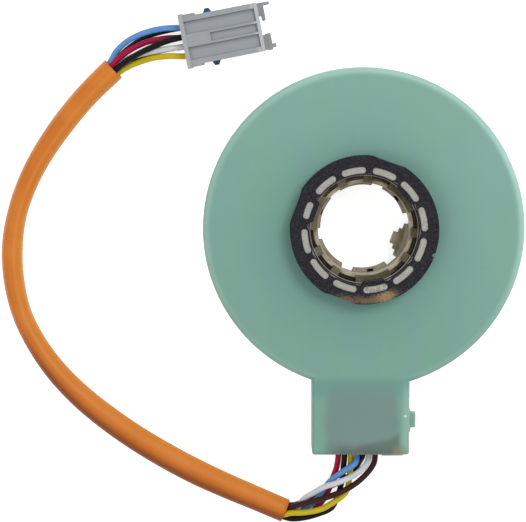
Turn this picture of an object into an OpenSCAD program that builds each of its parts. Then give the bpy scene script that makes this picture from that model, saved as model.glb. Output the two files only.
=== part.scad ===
// Steering angle and torque sensor: a flat round housing round the steering shaft, two keyed rotors in its bore,
// a cable block on its rim and a sleeved seven-wire lead to a plug. The bore axis is Z, the back face is z = 0.

/* [Housing] */
// Radius of the round housing
housing_r = 40; // [38:0.5:46]
// Height of the housing from its back to its front face
housing_h = 12; // [12:0.5:15]
// Thickness of the side wall
wall = 1.8; // [1.4:0.1:2.2]
// Thickness of the front plate
face_t = 1.6; // [1.2:0.1:2]
// Thickness of the rear cover
back_t = 1.8; // [1.4:0.1:2]
// Rounding of the front edge
edge_r = 1.2; // [0.8:0.1:1.4]
// Height of the locating lip on the rear cover
lip_h = 1.6; // [1:0.1:2]
// Thickness of the locating lip
lip_t = 1.3; // [1:0.1:1.8]
// Distance of the mounting pillars' axes from the inside of the side wall
pillar_in = 4.4; // [4.2:0.1:5]
// Radius of each pillar
pillar_r = 2.2; // [1.8:0.1:2.6]
// Radius of the peg on each pillar
peg_r = 1.1; // [0.9:0.1:1.3]

/* [Cable block] */
// Width of the cable block
block_w = 24.4; // [22:0.2:28]
// Sideways offset of the block from the bore axis
block_off = -0.6; // [-1:0.1:1]
// Distance from the bore axis to the block's outer end
block_end = 56.8; // [55:0.2:58]
// Rounding of the block's outer corners
block_corner_r = 0.9; // [0.6:0.1:1.4]
// Length of the latch tab on the block's side
tab_l = 3.6; // [3:0.1:6]
// How far the latch tab stands out
tab_out = 1.7; // [0.8:0.05:2]

/* [Rotors] */
// Outer radius of the two rotors where they pass through the housing
hub_r = 16.9; // [16.6:0.1:17.4]
// Radius of the bore through the rotor hub
hub_bore_r = 13.8; // [13.6:0.1:13.9]
// Outer radius of the slotted drive ring
ring_r = 18.4; // [18:0.1:20]
// Thickness of the drive ring
ring_t = 3.6; // [3:0.1:4]
// Half width of the drive ring's twelve-sided hole, across its flats
ring_flat_r = 13.65; // [13.6:0.01:13.7]
// Distance of the ring's slots from the bore axis
slot_at = 14.8; // [14.75:0.05:14.9]
// Width of a slot
slot_w = 1.8; // [1.6:0.1:1.9]
// Length of a slot
slot_l = 6.2; // [5.8:0.1:6.4]
// Length of the one short slot
short_slot_l = 4.5; // [3.5:0.1:5]
// How far the posts end below the face of the ring
post_recess = 0.2; // [0.1:0.05:0.5]
// Distance of the straight inner edge of the ring's three bumps from the bore axis
bump_r = 12.7; // [12.5:0.05:12.9]
// Outer radius of the rotor discs inside the housing
disc_r = 24.6; // [24.5:0.1:24.8]
// Thickness of the rotor discs
disc_t = 1.2; // [1:0.1:1.3]
// Radius of the spring ring's bore, which grips the shaft
grip_r = 11.4; // [11.3:0.05:11.4]
// Thickness of the spring ring
grip_t = 0.9; // [0.7:0.05:0.95]
// Height of the spring ring
grip_h = 4; // [3:0.1:4.5]
// Wall thickness of the hub cage
cage_t = 0.4; // [0.35:0.05:0.45]
// Radius that the ribs of the cage leave free
rib_in_r = 11.6; // [11.6:0.05:12]
// Width of a rib of the cage
rib_w = 2.2; // [1.6:0.1:2.4]
// Radius of the rear rotor's lands
land_r = 10.6; // [10.4:0.05:10.8]
// Radius of the notches between the lands
notch_r = 11.7; // [11.6:0.1:12.2]
// Width of a notch between two lands
notch_w = 3; // [2.4:0.1:4]
// Distance of the key's tip from the bore axis
key_tip_r = 7.9; // [7.8:0.05:8.6]
// Width of the key at its tip
key_w = 3; // [2:0.1:3.2]

/* [Track board] */
// Least height of the track board above the rear cover, to which a fifth of the inner height is added
board_foot = 0.98; // [0.9:0.02:1.1]
// Thickness of the track board
board_t = 1.6; // [1.2:0.1:1.6]
// Radius of the hole in the track board
board_in_r = 18.5; // [18:0.1:19]
// Gap between the board's edge and the inside of the side wall
board_gap = 2.2; // [2:0.1:2.6]
// Width of the board's tongue into the cable block
tongue_w = 12; // [11:0.5:14]
// Distance from the bore axis to the end of the tongue
tongue_end = 47; // [46:0.5:48]
// Width of one resistive track
track_w = 1.5; // [1:0.1:1.6]
// Pitch of the tracks
track_pitch = 2.5; // [2:0.1:2.5]

/* [Lead] */
// Diameter of one wire
wire_d = 1.5; // [1.4:0.05:1.5]
// Pitch of the wires where they leave the block
wire_pitch = 1.55; // [1.55:0.01:1.6]
// Outer diameter of the sleeve
sleeve_d = 6; // [5.8:0.1:6.2]
// Wall of the sleeve
sleeve_t = 0.4; // [0.3:0.05:0.45]

/* [Plug] */
// Length of the plug's housing
plug_l = 19.8; // [18.6:0.2:24]
// Width of the plug's housing
plug_w = 12.2; // [11.8:0.1:13]
// Height of the plug's housing
plug_h = 9.4; // [9:0.1:10]
// Width of the flange on the wire side
flange_w = 13.7; // [13:0.1:14.4]
// Thickness of the flange on the wire side
flange_t = 1.1; // [0.8:0.1:1.6]
// Pitch of the four columns of contacts
column_pitch = 2.4; // [2.3:0.05:2.6]
// Pitch of the two rows of contacts
row_pitch = 2.6; // [2.5:0.05:2.8]
// Side of a contact cavity
cavity_w = 1.8; // [1.7:0.05:1.8]
// Depth of the three channels in the plug's face
channel_d = 0.8; // [0.4:0.1:1]

/* [Hidden] */
$fn = 96;
eps = 0.01;

// Clearances
run_gap = 0.3;
fit_gap = 0.05;
seat_gap = 0.2;

// Heights of the stack
inner_face_z = housing_h - face_t;
washer_t = 0.4;
front_disc_top = inner_face_z - washer_t - run_gap;
front_disc_z = front_disc_top - disc_t;
ring_gap = 1;
ring_z = housing_h + ring_gap;
rear_lift = 0.3;
rotor_split_z = 4;
hub_z = rotor_split_z + run_gap;
rear_disc_z = back_t + 0.4;
grip_lift = 2.7;
grip_z = hub_z + grip_lift;
grip_top = grip_z + grip_h;
board_share = 0.2;
board_z = back_t + board_foot + board_share * (inner_face_z - back_t);
board_top = board_z + board_t;

peg_l = 2.4;

// Radii that follow
opening_r = hub_r + run_gap;
cavity_r = housing_r - wall;
cage_r = hub_bore_r - fit_gap;
cage_in_r = cage_r - cage_t;
grip_out_r = grip_r + grip_t;
washer_in_r = opening_r + 0.4;
washer_out_r = opening_r + 4;
pillar_at = cavity_r - pillar_in;
board_r = cavity_r - board_gap;

// The ring's pattern
slots = 12;
slot_step = 360 / slots;
slot_turn = 10.7;
short_slot = 5;
bump_turns = [40, 160, 280];
bump_tip_w = 4.8;
bump_base_w = 7.8;
scallop_turns = [70, 160, 250];
scallop_depth = 0.6;
scallop_arc_r = 115;
nick_turn = 340;
nick_depth = 0.6;
nick_arc_r = 0.5;
ring_chamfer = 0.25;

// The rear rotor's pattern
lands = 6;
notch_turn = 10;
key_turn = 340;
key_shoulder_w = 5.4;
key_shoulder_r = 9;
key_base_w = 8.4;
key_base_r = 9.8;
pocket_w = 1.6;
pocket_t = 0.7;
pocket_deep = 2.4;

// The lash stops between the rotors
stop_turns = [100, 220, 340];
stop_r = 14.3;
stop_out_r = 15.9;
stop_arc = 12;
lash = 8;
stop_h = 2.2;

// Wipers
wiper_w = 1.2;
wiper_t = 0.3;
wiper_gap = 0.15;
wiper_pairs = 3;
track_t = 0.15;
track_r = 20.2;

// The cable block
wire_z = board_top + 0.4;
block_x0 = block_off - block_w / 2;
block_x1 = block_off + block_w / 2;
window_x1 = block_x1 - 1.4;
window_rise = 0.64 * (inner_face_z - wire_z);
window_z1 = wire_z + window_rise;
clamp_side = 2;
clamp_step = 0.6 * (inner_face_z - window_z1);
clamp_in = 1.6;
potting_lip = 0.55;
potting_in = 5.4;
tab_y = -50.3;
tab_z = 4.6;
tab_h = 4;
tab_chamfer = 0.4;
ledge_out = 0.35;

// The lead. The sleeve's points run from the block to the plug, and lie on the table.
wires = 7;
wire_x = -1.35;
pin_r = 0.4;
pin_l = 6;
wire_start = tongue_end + 1;
wire_sides = 8;
sleeve_sides = 12;
lay_r = 1.6;
lay_twist = 110;
sleeve_route = [
    [-19.4, -72.5, 3], [-26.8, -69.3, 3], [-34.5, -66, 3], [-42.2, -62.4, 3], [-49.8, -58.3, 3],
    [-57.2, -53.8, 3], [-64.3, -48.8, 3], [-71, -43.3, 3], [-77, -37.1, 3], [-82, -30.1, 3],
    [-85.8, -22.4, 3], [-87.8, -14, 3], [-88.2, -5.3, 3], [-86.9, 3.2, 3], [-84, 11.4, 3],
    [-79.9, 19, 3], [-74.9, 26.1, 3], [-69.3, 32.8, 3], [-62.5, 39.5, 3]];
// The wires in their order along the block: red, black, yellow, light blue, dark blue, white, brown.
// Each has its angle and radius in the sleeve, its place in the plug, its points from the block to the sleeve
// and its points from the sleeve to the plug.
lay_angle = [308, 4, 60, 252, 196, 0, 140];
lay_radius = [lay_r, lay_r, lay_r, lay_r, lay_r, 0, lay_r];
plug_column = [1, 1, 3, 0, 0, 2, 2];
plug_row = [0, 1, 1, 1, 0, 1, 0];
wire_lead = [
    [[-6.4, -60.9, 5.1], [-7.4, -64.1, 3.8], [-8.3, -66.9, 3.4], [-10, -70.2, 2.5], [-12.6, -72.9, 1.9],
        [-15.9, -74.4, 1.4]],
    [[-4.7, -61, 5.4], [-5.1, -64.9, 4.3], [-6, -68.5, 3.4], [-7.6, -71.7, 3.3], [-11.6, -73.5, 3.3],
        [-15.4, -74.4, 3.3], [-18.2, -74.5, 3.2]],
    [[-2.9, -60.5, 5.2], [-3.2, -64.1, 5], [-4.1, -67.6, 4.9], [-7.1, -69.9, 5.1], [-10.2, -71.7, 4.9],
        [-14.4, -72.6, 4.9], [-18.4, -72.8, 4.9]],
    [[-1.8, -59.5, 7.7], [-4, -61.1, 7.3], [-6.3, -62.9, 6.2], [-8.3, -64.8, 5.2], [-10, -67.2, 4.3],
        [-12.2, -70.4, 3], [-15.3, -72.5, 0.8]],
    [[-0.7, -59.8, 4.6], [-2.2, -62.3, 3.6], [-4.5, -64.7, 2.7], [-8.3, -66.6, 1.7], [-12.1, -68.6, 1.7],
        [-15.9, -70.9, 2]],
    [[1, -59.8, 7.3], [-1.7, -62.4, 7.3], [-5.8, -64.4, 7.2], [-9.6, -65.8, 6.5], [-12.5, -67.7, 5.2],
        [-14.7, -69.3, 4.2], [-17.2, -72.8, 3.2]],
    [[2.9, -59.8, 6.5], [1.2, -62.3, 6.5], [-1.9, -65.1, 6.6], [-6.1, -67.4, 6.5], [-11.1, -69.2, 6],
        [-15.4, -70.3, 5.7]]];
wire_tail = [
    [[-61, 42.2, 4.7], [-57.9, 44.4, 4.7], [-54, 46.2, 4.2], [-49.5, 47.1, 3.6]],
    [[-59.7, 41, 5], [-56.6, 43, 5.7], [-52.5, 45, 6.2], [-49, 46.4, 6.1]],
    [[-59.1, 39.9, 2.9], [-56.3, 41.1, 3.2], [-52.7, 42.2, 4.3], [-48.5, 42.7, 5.4]],
    [[-61.6, 44, 3.3], [-58.3, 46.8, 4.2], [-53.6, 48.8, 5.4], [-49.4, 49.6, 5.9]],
    [[-60.8, 42.8, 1.6], [-57.7, 45.4, 1.9], [-53.3, 47.9, 2.5], [-49, 49.1, 3.1]],
    [[-60, 41.3, 3.3], [-57, 42.8, 3.9], [-53.8, 43.6, 4.5], [-49.4, 44.4, 5.6]],
    [[-59.5, 40.6, 1.5], [-56.5, 42.1, 1.7], [-52.5, 43.6, 2.3], [-48.5, 44.5, 3]]];

// The plug, which lies on the table: its origin is the middle of its wire side
plug_at = [-44.95, 46.2, 0];
plug_turn = 11;
columns = 4;
contact_x = 4;
barrel_l = 2;
socket_x = 8.9;
socket_l = 7;
socket_w = 1.5;
pin_hole_w = 1;
front_wall = 2.8;
lock_x = 6.3;
lock_l = 2;
lock_h = 1.2;
lock_out = 0.9;
rim_t = 0.9;
shoulder_l = 3;
side_step = 0.25;
face_step = 0.2;
hook_z = 2.6;
hook_h = 4.2;

// Places worked out
function column_y(c) = ((columns - 1) / 2 - c) * column_pitch;
function row_z(r) = plug_h / 2 + (r - 0.5) * row_pitch;
function in_plug(p) = plug_at + [p.x * cos(plug_turn) - p.y * sin(plug_turn),
    p.x * sin(plug_turn) + p.y * cos(plug_turn), p.z];
function wire_row_x(i) = wire_x + (i - (wires - 1) / 2) * wire_pitch;
window_x0 = wire_row_x(0) - clamp_side;
clamp_x1 = wire_row_x(wires - 1) + clamp_side - 0.6;

// The direction of a route at a point, and the level direction to its left
function unit(v) = v / norm(v);
function step(p, i) = unit(p[i + 1] - p[i]);
function along(p, i) = i == 0 ? step(p, 0) : i == len(p) - 1 ? step(p, i - 1) : unit(step(p, i - 1) + step(p, i));
function left(t) = unit(cross([0, 0, 1], t));
function ring(p, i, r, sides) = let(t = along(p, i), n = left(t), b = cross(t, n))
    [for (k = [0:sides - 1]) p[i] + r * (cos(360 * k / sides) * n + sin(360 * k / sides) * b)];

// A wire's whole route: out of the block, through the sleeve in its own lay, and into the plug
function lay_point(i, s) = let(a = lay_angle[i] + lay_twist * s / (len(sleeve_route) - 1),
    n = left(along(sleeve_route, s)))
    sleeve_route[s] + lay_radius[i] * (cos(a) * n + sin(a) * [0, 0, 1]);
function wire_route(i) = concat(
    [[wire_row_x(i), -wire_start, wire_z], [wire_row_x(i), -block_end - 0.5, wire_z]],
    wire_lead[i],
    [for (s = [0:len(sleeve_route) - 1]) lay_point(i, s)],
    wire_tail[i],
    [for (x = [0, contact_x]) in_plug([x, column_y(plug_column[i]), row_z(plug_row[i])])]);

// Shapes used by several pieces
module wedge(angle) {
    reach = 3 * housing_r;
    polygon([[0, 0], [reach * cos(angle / 2), -reach * sin(angle / 2)],
        [reach * cos(angle / 2), reach * sin(angle / 2)]]);
}

module annulus(r_out, r_in) {
    difference() {
        circle(r_out);
        circle(r_in);
    }
}

module arc_band(r_out, r_in, angle) {
    intersection() {
        annulus(r_out, r_in);
        wedge(angle);
    }
}

// A curved slot with round ends, of a given length and width, at the slots' distance from the axis
module arc_slot(length, width) {
    angle = (length - width) / slot_at * 180 / PI;
    arc_band(slot_at + width / 2, slot_at - width / 2, angle);
    for (side = [-1, 1])
        rotate(side * angle / 2)
            translate([slot_at, 0])
                circle(width / 2 - 2 * eps);
}

module slot_pattern(clear) {
    for (i = [0:slots - 1])
        rotate(slot_turn + i * slot_step)
            arc_slot((i == short_slot ? short_slot_l : slot_l) - 2 * clear, slot_w - 2 * clear);
}

module rounded_rect(x0, y0, x1, y1, r) {
    translate([x0 + r, y0])
        square([x1 - x0 - 2 * r, y1 - y0]);
    translate([x0, y0 + r])
        square([x1 - x0, y1 - y0 - 2 * r]);
    for (x = [x0 + r, x1 - r], y = [y0 + r, y1 - r])
        translate([x, y])
            circle(r, $fn = 32);
}

// A ring with its axis up, between two heights
module tube(r_out, r_in, z0, z1) {
    translate([0, 0, z0])
        linear_extrude(z1 - z0)
            annulus(r_out, r_in);
}

module box(x0, x1, y0, y1, z0, z1) {
    translate([x0, y0, z0])
        cube([x1 - x0, y1 - y0, z1 - z0]);
}

// The places of the pillars, on the diagonals
module at_pillars() {
    for (turn = [45:90:315])
        rotate(turn)
            translate([pillar_at, 0])
                children();
}

// A solid round wire or cord along a route
module cord(route, r, sides) {
    last = len(route) - 1;
    points = [for (i = [0:last]) each ring(route, i, r, sides)];
    walls = [for (i = [0:last - 1], k = [0:sides - 1]) let(a = i * sides + k, b = i * sides + (k + 1) % sides)
        [a, a + sides, b + sides, b]];
    ends = [[for (k = [0:sides - 1]) k], [for (k = [sides - 1:-1:0]) last * sides + k]];
    polyhedron(points, concat(walls, ends));
}

// A hollow hose along a route
module hose(route, r_out, r_in, sides) {
    last = len(route) - 1;
    half = (last + 1) * sides;
    points = [for (r = [r_out, r_in], i = [0:last]) each ring(route, i, r, sides)];
    outer = [for (i = [0:last - 1], k = [0:sides - 1]) let(a = i * sides + k, b = i * sides + (k + 1) % sides)
        [a, a + sides, b + sides, b]];
    inner = [for (f = outer) [half + f[3], half + f[2], half + f[1], half + f[0]]];
    first_end = [for (k = [0:sides - 1]) let(m = (k + 1) % sides) [k, m, half + m, half + k]];
    last_end = [for (k = [0:sides - 1]) let(m = (k + 1) % sides, z = last * sides)
        [half + z + k, half + z + m, z + m, z + k]];
    polyhedron(points, concat(outer, inner, first_end, last_end));
}

// Housing

// The round part and the cable block as one outline, with the front edges rounded
module front_outside() {
    rotate_extrude() {
        translate([0, back_t])
            square([housing_r, housing_h - back_t - edge_r]);
        translate([0, back_t])
            square([housing_r - edge_r, housing_h - back_t]);
        translate([housing_r - edge_r, housing_h - edge_r])
            circle(edge_r, $fn = 32);
    }
    intersection() {
        translate([0, 0, back_t])
            linear_extrude(housing_h)
                rounded_rect(block_x0, -block_end, block_x1, 0, block_corner_r);
        rotate([90, 0, 0])
            linear_extrude(2 * housing_r)
                rounded_rect(block_x0, -housing_h, block_x1, housing_h, edge_r);
        rotate([90, 0, 90])
            translate([0, 0, -housing_r])
                linear_extrude(2 * housing_r)
                    rounded_rect(-block_end, -housing_h, housing_r, housing_h, edge_r);
    }
}

// The latch tab on the block's side, with its upper edge chamfered and a low ledge round its root
module side_tab() {
    ledge_w = 0.9;
    box(block_x1 - eps, block_x1 + ledge_out, tab_y - ledge_w, tab_y + tab_l + ledge_w, tab_z - ledge_w,
        tab_z + tab_h + ledge_w);
    difference() {
        box(block_x1 - eps, block_x1 + tab_out, tab_y, tab_y + tab_l, tab_z, tab_z + tab_h);
        translate([block_x1 + tab_out, tab_y - 1, tab_z + tab_h - tab_chamfer])
            rotate([0, -45, 0])
                cube([tab_out, tab_l + 2, tab_out]);
    }
}

module front_housing() {
    color([0.5, 0.68, 0.6]) {
        difference() {
            front_outside();
            translate([0, 0, back_t - eps])
                cylinder(r = cavity_r, h = inner_face_z - back_t + eps);
            box(block_x0 + wall, block_x1 - wall, -block_end + wall, 0, back_t - eps, inner_face_z);
            translate([0, 0, inner_face_z - eps])
                cylinder(r = opening_r, h = face_t + 1);
            box(window_x0, window_x1, -block_end - 1, -block_end + wall + eps, back_t - eps, window_z1);
        }
        at_pillars()
            tube(pillar_r, peg_r + fit_gap, board_top, inner_face_z + eps);
        side_tab();
    }
}

module rear_cover() {
    color([0.5, 0.68, 0.6]) {
        difference() {
            union() {
                cylinder(r = housing_r, h = back_t);
                linear_extrude(back_t)
                    rounded_rect(block_x0, -block_end, block_x1, 0, block_corner_r);
                tube(cavity_r - seat_gap, cavity_r - seat_gap - lip_t, back_t - eps, back_t + lip_h);
            }
            translate([0, 0, -1])
                cylinder(r = opening_r, h = back_t + 2);
        }
        at_pillars() {
            translate([0, 0, back_t - eps])
                cylinder(r = pillar_r, h = board_z - back_t + eps, $fn = 48);
            cylinder(r = peg_r, h = board_top + peg_l, $fn = 32);
        }
    }
}

module track_board() {
    color([0.16, 0.36, 0.2])
        translate([0, 0, board_z])
            linear_extrude(board_t)
                difference() {
                    union() {
                        circle(board_r);
                        translate([wire_x - tongue_w / 2, -tongue_end])
                            square([tongue_w, tongue_end]);
                    }
                    circle(board_in_r);
                    at_pillars()
                        circle(peg_r + fit_gap, $fn = 32);
                }
}

module tracks(z) {
    for (i = [0:1])
        tube(track_r + i * track_pitch + track_w, track_r + i * track_pitch, z, z + track_t);
}

module position_tracks() {
    color([0.1, 0.1, 0.1])
        tracks(board_top);
}

module torque_tracks() {
    color([0.1, 0.1, 0.1])
        tracks(board_z - track_t);
}

module board_pins() {
    color([0.85, 0.75, 0.4])
        for (i = [0:wires - 1])
            translate([wire_row_x(i), -wire_start, wire_z])
                rotate([-90, 0, 0])
                    cylinder(r = pin_r, h = pin_l, $fn = 16);
}

module thrust_washer() {
    color([0.85, 0.85, 0.8])
        tube(washer_out_r, washer_in_r, inner_face_z - washer_t, inner_face_z);
}

// Rotors

module front_drive_ring() {
    color([0.17, 0.16, 0.19])
        difference() {
            translate([0, 0, ring_z])
                union() {
                    cylinder(r = ring_r, h = ring_t - ring_chamfer);
                    translate([0, 0, ring_t - ring_chamfer])
                        cylinder(r1 = ring_r, r2 = ring_r - ring_chamfer, h = ring_chamfer);
                }
            translate([0, 0, ring_z - 1])
                linear_extrude(ring_t + 2) {
                    difference() {
                        rotate(slot_turn + slot_step / 2)
                            circle(ring_flat_r / cos(slot_step / 2), $fn = slots);
                        for (turn = bump_turns)
                            rotate(turn)
                                polygon([[bump_r, -bump_tip_w / 2], [bump_r + 2, -bump_base_w / 2],
                                    [bump_r + 2, bump_base_w / 2], [bump_r, bump_tip_w / 2]]);
                    }
                    slot_pattern(0);
                    for (turn = scallop_turns)
                        rotate(turn)
                            translate([ring_r - scallop_depth + scallop_arc_r, 0])
                                circle(scallop_arc_r, $fn = 360);
                    rotate(nick_turn)
                        translate([ring_r - nick_depth + nick_arc_r, 0])
                            circle(nick_arc_r, $fn = 32);
                }
        }
}

module front_rotor_hub() {
    color([0.64, 0.64, 0.61])
        difference() {
            union() {
                tube(hub_r, hub_bore_r, hub_z, ring_z);
                tube(disc_r, hub_bore_r, front_disc_z, front_disc_top);
                translate([0, 0, ring_z - eps])
                    linear_extrude(ring_t - post_recess + eps)
                        slot_pattern(fit_gap);
            }
            translate([0, 0, hub_z - 1])
                linear_extrude(rotor_split_z + stop_h + run_gap - hub_z + 1)
                    for (turn = stop_turns)
                        rotate(turn)
                            arc_band(stop_out_r + run_gap, stop_r - run_gap, stop_arc + 2 * lash + 2);
        }
}

module hub_cage() {
    rib_turn = slot_turn + slot_step / 2;
    cage_floor_t = 1;
    color([0.36, 0.32, 0.22]) {
        tube(cage_r, cage_in_r, hub_z, ring_z);
        for (i = [0:slots - 1])
            rotate(rib_turn + i * slot_step) {
                box(rib_in_r, cage_in_r + fit_gap, -rib_w / 2, rib_w / 2, grip_top + fit_gap, ring_z - seat_gap);
                box(grip_out_r + fit_gap, cage_in_r + fit_gap, -rib_w / 2, rib_w / 2, hub_z + seat_gap,
                    grip_top + fit_gap + eps);
            }
        tube(cage_in_r + fit_gap, grip_out_r + seat_gap, grip_z, grip_z + cage_floor_t);
        for (turn = bump_turns)
            rotate(turn)
                translate([0, 0, grip_top + seat_gap])
                    linear_extrude(ring_z - 3 * seat_gap - grip_top)
                        arc_band(cage_in_r + 2 * fit_gap, rib_in_r + fit_gap, slot_step);
    }
}

module grip_ring() {
    color([0.75, 0.71, 0.63])
        tube(grip_out_r, grip_r, grip_z, grip_top);
}

// A leaf that leans from one height to another, with a flat foot at each end
module wiper_leaf(z0, z1) {
    foot_l = 1;
    leaf_l = 5;
    skew = 0.2;
    lean = sign(z1 - z0) * wiper_t;
    rotate([90, 0, 0])
        translate([0, 0, -wiper_w / 2])
            linear_extrude(wiper_w)
                polygon([[0, z0], [foot_l + skew, z0], [leaf_l - foot_l + skew, z1 - lean], [leaf_l, z1 - lean],
                    [leaf_l, z1], [leaf_l - foot_l, z1], [foot_l, z0 + lean], [0, z0 + lean]]);
}

module wipers(z0, z1) {
    for (i = [0:wiper_pairs - 1], track = [0:1])
        rotate(i * 360 / wiper_pairs)
            translate([track_r + track_w / 2 + track * track_pitch, 0, 0])
                rotate(90)
                    wiper_leaf(z0, z1);
}

module position_wipers() {
    color([0.8, 0.72, 0.45])
        wipers(front_disc_z, board_top + track_t + wiper_gap);
}

module torque_wipers() {
    color([0.8, 0.72, 0.45])
        wipers(rear_disc_z + disc_t, board_z - track_t - wiper_gap);
}

module key_step(r, width) {
    translate([r, -width / 2])
        square([notch_r + 1 - r, width]);
}

module rear_rotor() {
    color([0.42, 0.38, 0.28]) {
        difference() {
            union() {
                translate([0, 0, rear_lift])
                    cylinder(r = hub_r, h = rotor_split_z - rear_lift);
                translate([0, 0, rear_disc_z])
                    cylinder(r = disc_r, h = disc_t);
            }
            translate([0, 0, -1])
                linear_extrude(rotor_split_z + 2)
                    difference() {
                        union() {
                            circle(land_r);
                            for (i = [0:lands - 1])
                                rotate(notch_turn + i * 360 / lands)
                                    translate([0, -notch_w / 2])
                                        square([notch_r, notch_w]);
                        }
                        rotate(key_turn) {
                            key_step(key_tip_r, key_w);
                            key_step(key_shoulder_r, key_shoulder_w);
                            key_step(key_base_r, key_base_w);
                        }
                    }
            for (turn = bump_turns)
                rotate(turn)
                    translate([(land_r + notch_r - pocket_t) / 2, -pocket_w / 2, rotor_split_z - pocket_deep])
                        cube([pocket_t, pocket_w, pocket_deep + 1]);
        }
        translate([0, 0, rotor_split_z - eps])
            linear_extrude(stop_h + eps)
                for (turn = stop_turns)
                    rotate(turn)
                        arc_band(stop_out_r, stop_r, stop_arc);
    }
}

// Cable block

// The block that closes the cable window and lets the row of wires through
module wire_clamp() {
    inner_y = -block_end + wall + fit_gap;
    hole_r = wire_d / 2 + 0.1;
    color([0.46, 0.56, 0.52])
        difference() {
            union() {
                box(window_x0 + fit_gap, clamp_x1, -block_end, inner_y + eps, back_t, window_z1 - fit_gap);
                box(window_x0 - clamp_step, clamp_x1 + clamp_step, inner_y, inner_y + clamp_in, back_t,
                    window_z1 + clamp_step);
            }
            wire_slot(hole_r);
        }
}

// The slot for the row of wires, with round ends
module wire_slot(r) {
    for (i = [0, wires - 1])
        translate([wire_row_x(i), -block_end - 1, wire_z])
            rotate([-90, 0, 0])
                cylinder(r = r, h = wall + clamp_in + 2, $fn = 32);
    box(wire_row_x(0), wire_row_x(wires - 1), -block_end - 1, -block_end + wall + clamp_in + 1, wire_z - r,
        wire_z + r);
}

module potting() {
    inner_y = -block_end + wall + fit_gap;
    color([0.42, 0.42, 0.34]) {
        box(clamp_x1 + fit_gap, window_x1 - fit_gap, -block_end - potting_lip, inner_y, back_t,
            window_z1 - fit_gap);
        box(clamp_x1 + clamp_step + fit_gap, block_x1 - wall - fit_gap, inner_y - eps, -block_end + potting_in,
            back_t, window_z1 - fit_gap);
    }
}

// Lead

module wire(i) {
    cord(wire_route(i), wire_d / 2, wire_sides);
}

module wire_red() { color([0.7, 0.05, 0.2]) wire(0); }
module wire_black() { color([0.08, 0.07, 0.08]) wire(1); }
module wire_yellow() { color([0.82, 0.75, 0.1]) wire(2); }
module wire_light_blue() { color([0.42, 0.63, 0.86]) wire(3); }
module wire_dark_blue() { color([0.1, 0.11, 0.22]) wire(4); }
module wire_white() { color([0.85, 0.85, 0.87]) wire(5); }
module wire_brown() { color([0.33, 0.18, 0.17]) wire(6); }

module cable_sleeve() {
    color([0.82, 0.48, 0.18])
        hose(sleeve_route, sleeve_d / 2, sleeve_d / 2 - sleeve_t, sleeve_sides);
}

// Plug

module in_plug_place() {
    translate(plug_at)
        rotate(plug_turn)
            children();
}

module plug_cavities() {
    for (c = [0:columns - 1], r = [0:1]) {
        y = column_y(c);
        z = row_z(r);
        box(-1, plug_l - front_wall, y - cavity_w / 2, y + cavity_w / 2, z - cavity_w / 2, z + cavity_w / 2);
        box(0, plug_l + 1, y - pin_hole_w / 2, y + pin_hole_w / 2, z - pin_hole_w / 2, z + pin_hole_w / 2);
    }
}

// The three channels in the top face: two long ones at the sides and a short one between them
module plug_channels() {
    long_y = 1.6;
    long_w = 3.2;
    short_x = 7.1;
    short_w = 2.1;
    end_x = plug_l - rim_t;
    floor_z = plug_h - channel_d;
    for (y = [long_y, -long_y - long_w])
        box(flange_t, end_x, y, y + long_w, floor_z, plug_h + 1);
    box(short_x, end_x, -short_w / 2, short_w / 2, floor_z, plug_h + 1);
}

module upper_hook() {
    bar_w = 4.1;
    bar_y = 1.8;
    bar_l = 1.5;
    bar_r = 0.5;
    foot_l = 0.5;
    arm_l = 2.7;
    arm_w = 0.8;
    translate([plug_l - eps, 0, hook_z])
        linear_extrude(hook_h) {
            translate([0, bar_y + bar_w - arm_w - 2.5])
                square([bar_l, 3.3]);
            translate([foot_l, bar_y])
                square([bar_l - foot_l, bar_w]);
            translate([foot_l, bar_y + bar_w - arm_w])
                square([arm_l - foot_l, arm_w]);
            translate([arm_l, bar_y + bar_w - arm_w / 2])
                circle(arm_w / 2, $fn = 24);
            translate([bar_l - bar_r, bar_y])
                circle(bar_r, $fn = 24);
        }
}

module lower_hook() {
    bar_y = -6.1;
    bar_w = 4.2;
    bar_l = 2;
    root_y = -5.9;
    root_w = 3.8;
    foot_y = -5.6;
    foot_w = 1;
    foot_l = 2.9;
    translate([plug_l - eps, 0, hook_z])
        linear_extrude(hook_h) {
            translate([0, root_y])
                square([bar_l, root_w]);
            translate([bar_l - 1.4, bar_y])
                square([1.4, bar_w]);
            translate([0, foot_y])
                square([foot_l, foot_w]);
        }
}

module connector_housing() {
    color([0.66, 0.68, 0.69])
        in_plug_place()
            difference() {
                union() {
                    box(0, flange_t, -flange_w / 2, flange_w / 2, 0, plug_h);
                    box(0, flange_t + shoulder_l, -flange_w / 2 + side_step, flange_w / 2 - side_step,
                        2 * face_step, plug_h - 1.5 * face_step);
                    box(0, plug_l, -plug_w / 2, plug_w / 2, face_step, plug_h - face_step);
                    box(plug_l - rim_t, plug_l, -plug_w / 2, plug_w / 2, 0, plug_h);
                    upper_hook();
                    lower_hook();
                }
                plug_cavities();
                plug_channels();
                box(lock_x - seat_gap, lock_x + lock_l + seat_gap, -plug_w, plug_w,
                    plug_h / 2 - lock_h / 2 - fit_gap, plug_h / 2 + lock_h / 2 + fit_gap);
            }
}

// The blue bar that slides across the plug behind the sockets and holds them in
module contact_lock() {
    head_y = plug_w / 2 + seat_gap;
    head_taper = 0.5;
    head_x1 = lock_x + lock_l;
    half = [[head_x1, head_y], [head_x1 - head_taper, head_y + lock_out],
        [lock_x + head_taper, head_y + lock_out], [lock_x, head_y]];
    color([0.12, 0.42, 0.66])
        in_plug_place()
            translate([0, 0, plug_h / 2 - lock_h / 2])
                linear_extrude(lock_h)
                    polygon(concat(half, [for (i = [3:-1:0]) [half[i].x, -half[i].y]]));
}

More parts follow.
